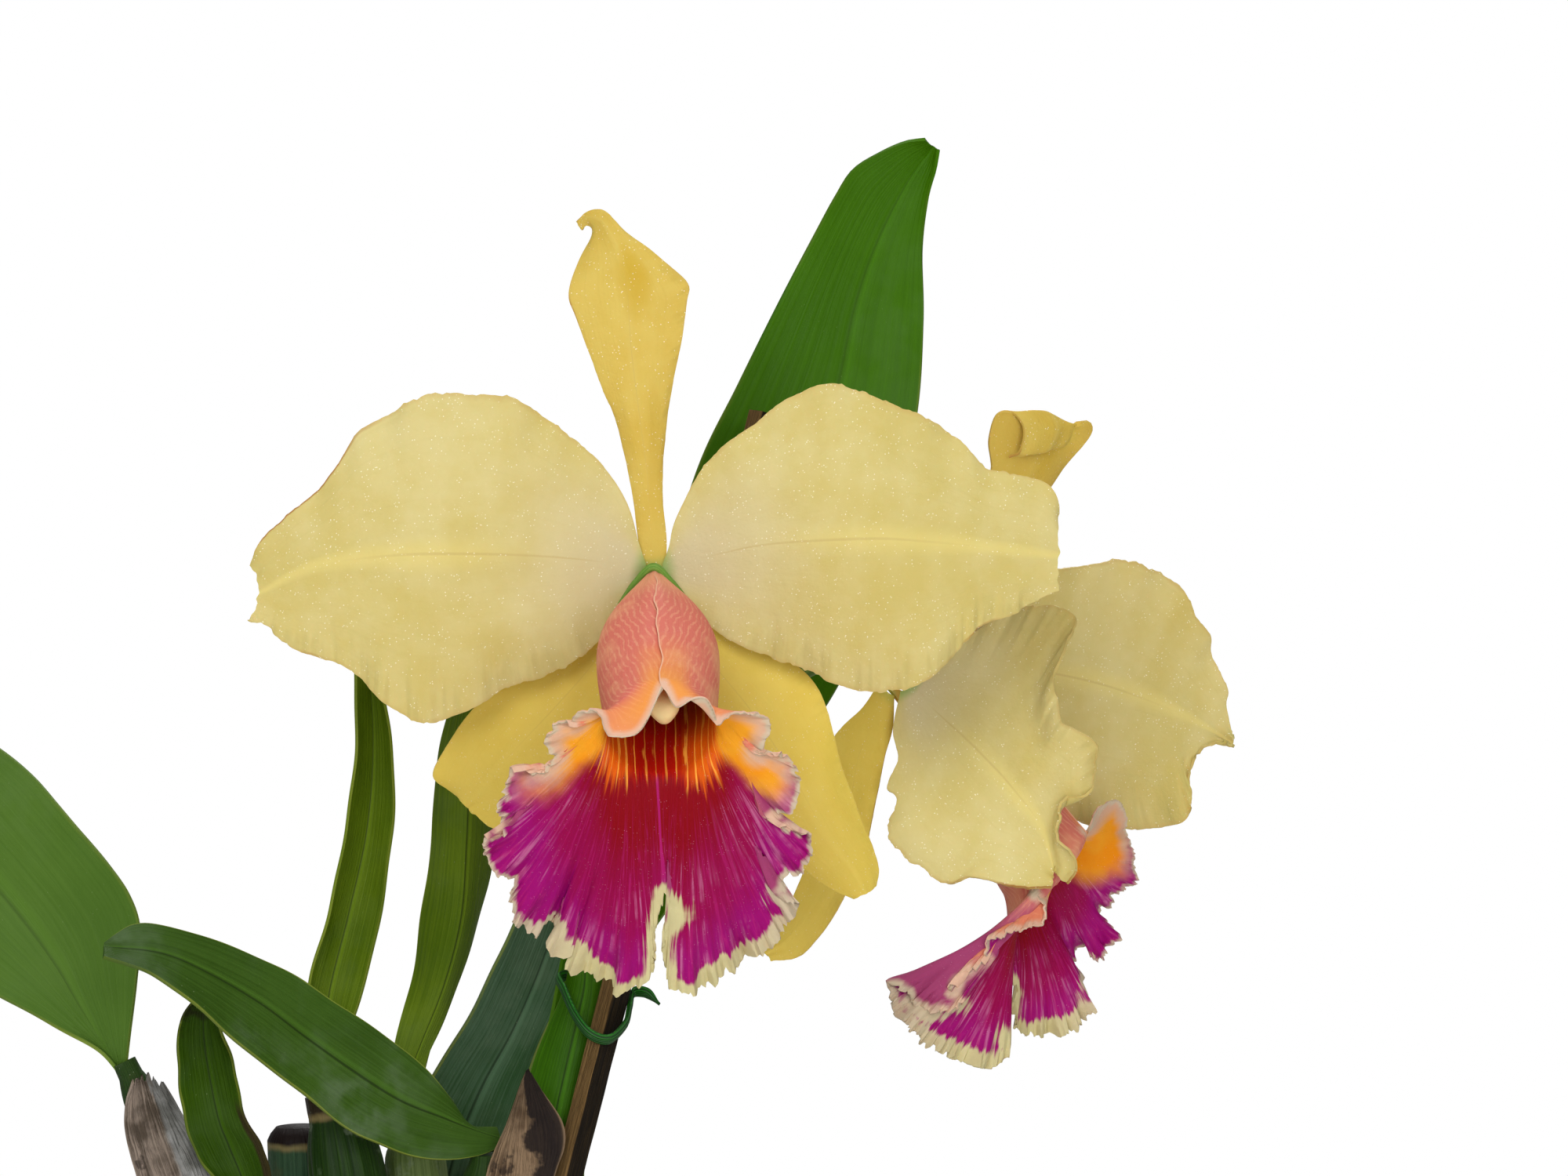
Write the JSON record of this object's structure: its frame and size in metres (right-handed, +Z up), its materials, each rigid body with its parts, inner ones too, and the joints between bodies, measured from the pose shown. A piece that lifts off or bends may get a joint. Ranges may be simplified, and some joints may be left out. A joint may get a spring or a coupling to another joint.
{
  "type": "potted orchid",
  "caption": "Cattleya type orchid in a plain clay pot: ruffled yellow petals, magenta frilled lips, strap leaves on pseudobulbs, and a tied wooden stake.",
  "frame": {"origin": "centre of the pot's flat base", "axes": "+Z up along the pot's axis; -Y is the side that the first flower faces; +X is to the right seen from there"},
  "size_m": [0.286, 0.1796, 0.4261],
  "materials": {
    "terracotta": "unglazed, matt, slightly dusty clay",
    "bark": "coarse matt bark chips",
    "split_wood": "rough split softwood",
    "tie_plastic": "ribbed soft plastic",
    "bulb_skin": "smooth furrowed green skin",
    "leaf_green": "satin leaf with a pale rim and dust specks",
    "dry_sheath": "papery, fibrous, dry",
    "stem_green": "satin green",
    "sepal": "soft butter yellow with fine crystalline glints",
    "petal": "soft cream yellow, pleated, with fine crystalline glints",
    "lip": "velvety magenta with an orange, red-striped throat and a cream frill",
    "column": "waxy cream orange"
  },
  "bodies": {
    "root": {"pot": "terracotta", "potting_medium": "bark", "stake": "split_wood", "tie": "tie_plastic", "rhizome": "bulb_skin", "pseudobulb_lead": "bulb_skin", "pseudobulb_left": "bulb_skin", "pseudobulb_short": "bulb_skin", "pseudobulb_cut": "bulb_skin", "pseudobulb_ribbed": "bulb_skin", "pseudobulb_middle": "bulb_skin", "pseudobulb_arching": "bulb_skin", "pseudobulb_back": "bulb_skin", "leaf_tall": "leaf_green", "leaf_left": "leaf_green", "leaf_arching": "leaf_green", "leaf_narrow_1": "leaf_green", "leaf_narrow_2": "leaf_green", "leaf_back": "leaf_green", "leaf_short": "leaf_green", "sheath_grey": "dry_sheath", "sheath_brown": "dry_sheath", "sheath_floral": "leaf_green", "flower_stem": "stem_green", "pedicel_2": "stem_green", "flower_1_dorsal_sepal": "sepal", "flower_1_lateral_sepal_left": "sepal", "flower_1_lateral_sepal_right": "sepal", "flower_1_petal_left": "petal", "flower_1_petal_right": "petal", "flower_1_lip": "lip", "flower_1_column": "column", "flower_2_dorsal_sepal": "sepal", "flower_2_lateral_sepal_near": "sepal", "flower_2_lateral_sepal_far": "sepal", "flower_2_petal_near": "petal", "flower_2_petal_far": "petal", "flower_2_lip": "lip", "flower_2_column": "column"}
  },
  "joints": []
}
